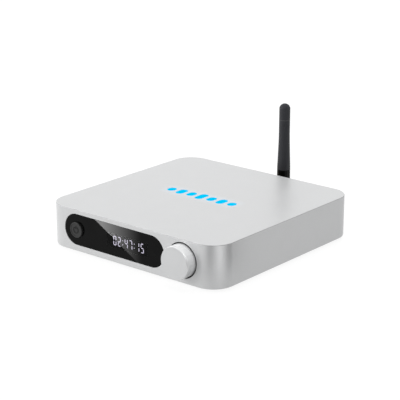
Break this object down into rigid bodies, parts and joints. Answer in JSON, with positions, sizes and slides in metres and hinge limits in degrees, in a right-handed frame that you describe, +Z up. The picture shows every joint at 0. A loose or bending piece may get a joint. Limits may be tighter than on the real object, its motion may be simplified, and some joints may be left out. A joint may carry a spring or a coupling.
{
  "type": "network music streamer",
  "caption": "Low square desktop music streamer with a display window, power button, push-and-turn knob and a hinged rear antenna.",
  "frame": {"origin": "centre of the housing's square footprint, on the surface that the feet stand on", "axes": "+X to the right as seen from the front, -Y out of the front face with the display, +Y out of the rear, +Z up"},
  "size_m": [0.12, 0.1462, 0.0638],
  "materials": {
    "shell": "satin",
    "base_plastic": "matte",
    "foot_rubber": "matte",
    "screw_steel": "satin",
    "window_glass": "gloss",
    "adhesive": "matte",
    "button_plastic": "satin",
    "black_plastic": "matte",
    "knob_metal": "satin",
    "steel": "satin",
    "brass": "satin",
    "display_glass": "gloss",
    "flex_film": "satin",
    "board_green": "satin",
    "light_diffuser": "satin",
    "led_white": "gloss",
    "chip_black": "matte",
    "pad_blue": "matte",
    "sink_metal": "satin",
    "can_silver": "satin",
    "film_red": "gloss",
    "panel_black": "matte",
    "gold": "gloss",
    "core_white": "satin",
    "core_red": "satin",
    "chrome": "gloss",
    "lens_red": "gloss",
    "antenna_rubber": "satin",
    "lead_black": "satin"
  },
  "bodies": {
    "base": {"housing_shell": "shell", "base_plate": "base_plastic", "rubber_feet": "foot_rubber", "base_screws": "screw_steel", "display_window": "window_glass", "window_adhesive": "adhesive", "power_switch": "black_plastic", "encoder_housing": "steel", "encoder_bushing": "steel", "encoder_nut": "steel", "knob_well": "black_plastic", "oled_panel": "display_glass", "display_carrier": "black_plastic", "oled_flex": "flex_film", "front_board": "board_green", "light_guide": "light_diffuser", "light_board": "board_green", "light_board_leds": "led_white", "main_board": "board_green", "board_screws": "screw_steel", "board_link": "black_plastic", "chips": "chip_black", "thermal_pad": "pad_blue", "heat_spreader": "sink_metal", "crystals": "can_silver", "inductors": "chip_black", "film_capacitors": "film_red", "capacitors": "can_silver", "radio_module": "board_green", "shield_can": "can_silver", "rear_panel": "panel_black", "rca_block": "black_plastic", "rca_shells": "gold", "rca_left_core": "core_white", "rca_right_core": "core_red", "optical_jack": "black_plastic", "optical_lens": "lens_red", "lan_shell": "chrome", "lan_insert": "black_plastic", "lan_contacts": "gold", "pairing_switch": "black_plastic", "usb_shell": "chrome", "usb_tongue": "black_plastic", "antenna_connector": "gold", "antenna_connector_nut": "gold", "antenna_nut": "gold", "antenna_lead": "lead_black", "antenna_lead_plug": "gold"},
    "power_button": {"power_button": "button_plastic"},
    "encoder_plunger": {"encoder_plunger": "black_plastic"},
    "knob": {"knob_cap": "knob_metal", "knob_insert": "black_plastic", "encoder_shaft": "steel"},
    "antenna_fork": {"antenna_fork": "black_plastic", "antenna_tilt_pin": "steel"},
    "antenna_arm": {"antenna_knuckle": "black_plastic", "antenna_sleeve": "antenna_rubber", "antenna_radiator": "brass"},
    "optical_shutter": {"optical_shutter": "black_plastic"},
    "pairing_button": {"pairing_button": "black_plastic"}
  },
  "joints": [
    {"name": "power_button_press", "type": "slide", "parent": "base", "child": "power_button", "axis": [0, 1, 0], "range_m": [0, 0.0004], "stiffness_N_per_m": 600, "springref_m": -0.0005},
    {"name": "knob_press", "type": "slide", "parent": "base", "child": "encoder_plunger", "axis": [0, 1, 0], "range_m": [0, 0.0005], "stiffness_N_per_m": 1500, "springref_m": -0.001},
    {"name": "knob_turn", "type": "hinge", "parent": "encoder_plunger", "child": "knob", "pos_m": [0.03725, -0.06, 0.01392], "axis": [0, 1, 0], "continuous": true},
    {"name": "antenna_swivel", "type": "hinge", "parent": "base", "child": "antenna_fork", "pos_m": [0, 0.072, 0.01392], "axis": [0, 1, 0], "range_deg": [-90, 90]},
    {"name": "antenna_tilt", "type": "hinge", "parent": "antenna_fork", "child": "antenna_arm", "pos_m": [0, 0.076, 0.01392], "axis": [-1, 0, 0], "range_deg": [0, 90]},
    {"name": "optical_shutter_swing", "type": "hinge", "parent": "base", "child": "optical_shutter", "pos_m": [-0.0124, 0.05705, 0.01609], "axis": [-1, 0, 0], "range_deg": [0, 80], "stiffness_Nm_per_rad": 0.0002, "springref_deg": -28.65},
    {"name": "pairing_button_press", "type": "slide", "parent": "base", "child": "pairing_button", "axis": [0, -1, 0], "range_m": [0, 0.0003], "stiffness_N_per_m": 800, "springref_m": -0.0005}
  ]
}
